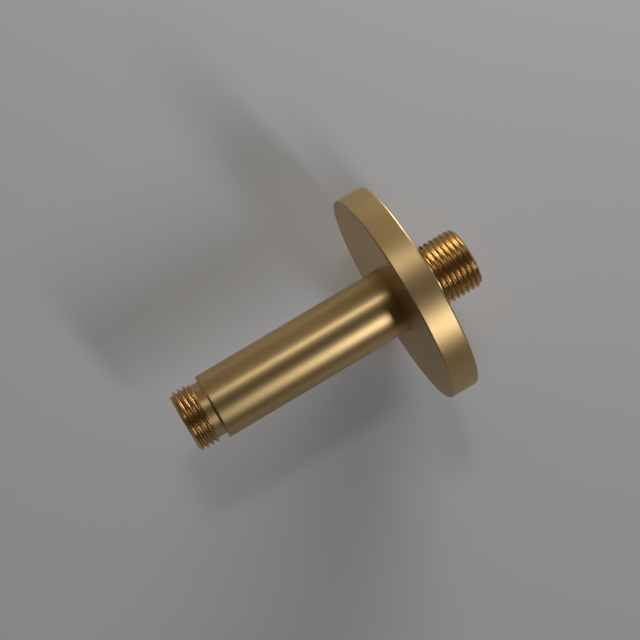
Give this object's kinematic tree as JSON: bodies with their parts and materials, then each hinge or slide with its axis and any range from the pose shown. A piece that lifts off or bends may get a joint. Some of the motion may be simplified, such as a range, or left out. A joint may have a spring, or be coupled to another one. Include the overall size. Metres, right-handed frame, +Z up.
{
  "type": "ceiling shower arm",
  "caption": "Straight brushed brass ceiling shower arm: a round pipe with a male pipe thread at each end and a round cover flange that slides on it.",
  "frame": {"origin": "on the arm's axis, at the back face of the cover flange, which is the ceiling plane", "axes": "+Z up along the arm's axis, into the ceiling; the pipe and its outlet thread hang down along -Z"},
  "size_m": [0.0724, 0.0724, 0.1044],
  "materials": {
    "arm_brass": "brushed, satin",
    "flange_brass": "brushed, satin",
    "black_rubber": "matt moulded rubber"
  },
  "bodies": {
    "arm": {"shower_arm": "arm_brass"},
    "seal": {"flange_o_ring": "black_rubber"},
    "flange": {"ceiling_flange": "flange_brass"}
  },
  "joints": [
    {"name": "flange_slide", "type": "slide", "parent": "arm", "child": "seal", "axis": [0, 0, -1], "range_m": [0, 0.066]},
    {"name": "flange_turn", "type": "hinge", "parent": "seal", "child": "flange", "pos_m": [0, 0, 0], "axis": [0, 0, 1], "continuous": true}
  ]
}
